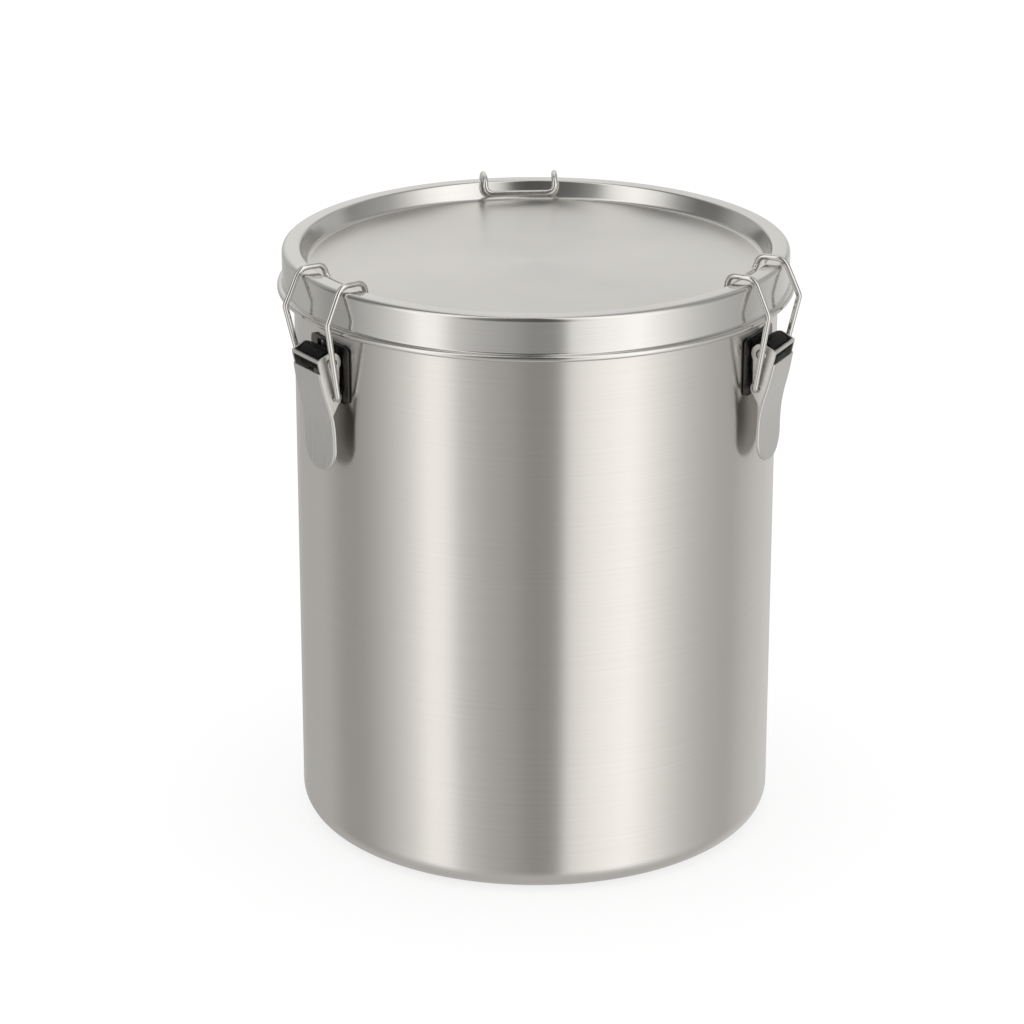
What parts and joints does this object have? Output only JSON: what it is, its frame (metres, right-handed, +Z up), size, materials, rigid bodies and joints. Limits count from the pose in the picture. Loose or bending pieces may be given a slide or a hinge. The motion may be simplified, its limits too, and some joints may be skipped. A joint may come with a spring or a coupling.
{
  "type": "milk can",
  "caption": "Cylindrical stainless-steel milk can with a sealed lift-off lid, held down by toggle latches whose wire bails hook over the lid's raised crown.",
  "frame": {"origin": "centre of the flat base, on the can's axis", "axes": "+Z up along the can's axis, +Y through the back latch, -Y to the front"},
  "size_m": [0.2564, 0.2621, 0.3022],
  "materials": {
    "can_steel": "satin, brushed round the can",
    "lid_steel": "fine satin, with a brighter crown and skirt",
    "bracket_steel": "pressed and tumbled",
    "lever_steel": "pressed and tumbled, satin",
    "wire_steel": "bright drawn wire",
    "black_nylon": "moulded, slightly satin",
    "silicone": "translucent white, matte"
  },
  "bodies": {
    "can": {"can_body": "can_steel", "left_bracket": "bracket_steel", "left_hinge_pin": "wire_steel", "left_pin_sleeve": "black_nylon", "right_bracket": "bracket_steel", "right_hinge_pin": "wire_steel", "right_pin_sleeve": "black_nylon", "back_bracket": "bracket_steel", "back_hinge_pin": "wire_steel", "back_pin_sleeve": "black_nylon"},
    "lid": {"lid": "lid_steel", "lid_gasket": "silicone"},
    "left_lever": {"left_lever": "lever_steel"},
    "left_bail": {"left_bail": "wire_steel"},
    "right_lever": {"right_lever": "lever_steel"},
    "right_bail": {"right_bail": "wire_steel"},
    "back_lever": {"back_lever": "lever_steel"},
    "back_bail": {"back_bail": "wire_steel"}
  },
  "joints": [
    {"name": "lid_lift", "type": "slide", "parent": "can", "child": "lid", "axis": [0, 0, 1], "range_m": [0, 0.2]},
    {"name": "left_lever_hinge", "type": "hinge", "parent": "can", "child": "left_lever", "pos_m": [-0.10938, -0.06315, 0.2613], "axis": [-0.5, 0.866, 0], "range_deg": [0, 110]},
    {"name": "left_bail_hinge", "type": "hinge", "parent": "left_lever", "child": "left_bail", "pos_m": [-0.10782, -0.06225, 0.2434], "axis": [-0.5, 0.866, 0], "range_deg": [-73, 0]},
    {"name": "right_lever_hinge", "type": "hinge", "parent": "can", "child": "right_lever", "pos_m": [0.10938, -0.06315, 0.2613], "axis": [-0.5, -0.866, 0], "range_deg": [0, 110]},
    {"name": "right_bail_hinge", "type": "hinge", "parent": "right_lever", "child": "right_bail", "pos_m": [0.10782, -0.06225, 0.2434], "axis": [-0.5, -0.866, 0], "range_deg": [-73, 0]},
    {"name": "back_lever_hinge", "type": "hinge", "parent": "can", "child": "back_lever", "pos_m": [0, 0.1263, 0.2613], "axis": [1, 0, 0], "range_deg": [0, 110]},
    {"name": "back_bail_hinge", "type": "hinge", "parent": "back_lever", "child": "back_bail", "pos_m": [0, 0.1245, 0.2434], "axis": [1, 0, 0], "range_deg": [-73, 0]}
  ],
  "couplings": [
    {"joint": "left_bail_hinge", "follows": "left_lever_hinge", "ratio": -0.66},
    {"joint": "right_bail_hinge", "follows": "right_lever_hinge", "ratio": -0.66},
    {"joint": "back_bail_hinge", "follows": "back_lever_hinge", "ratio": -0.66}
  ]
}
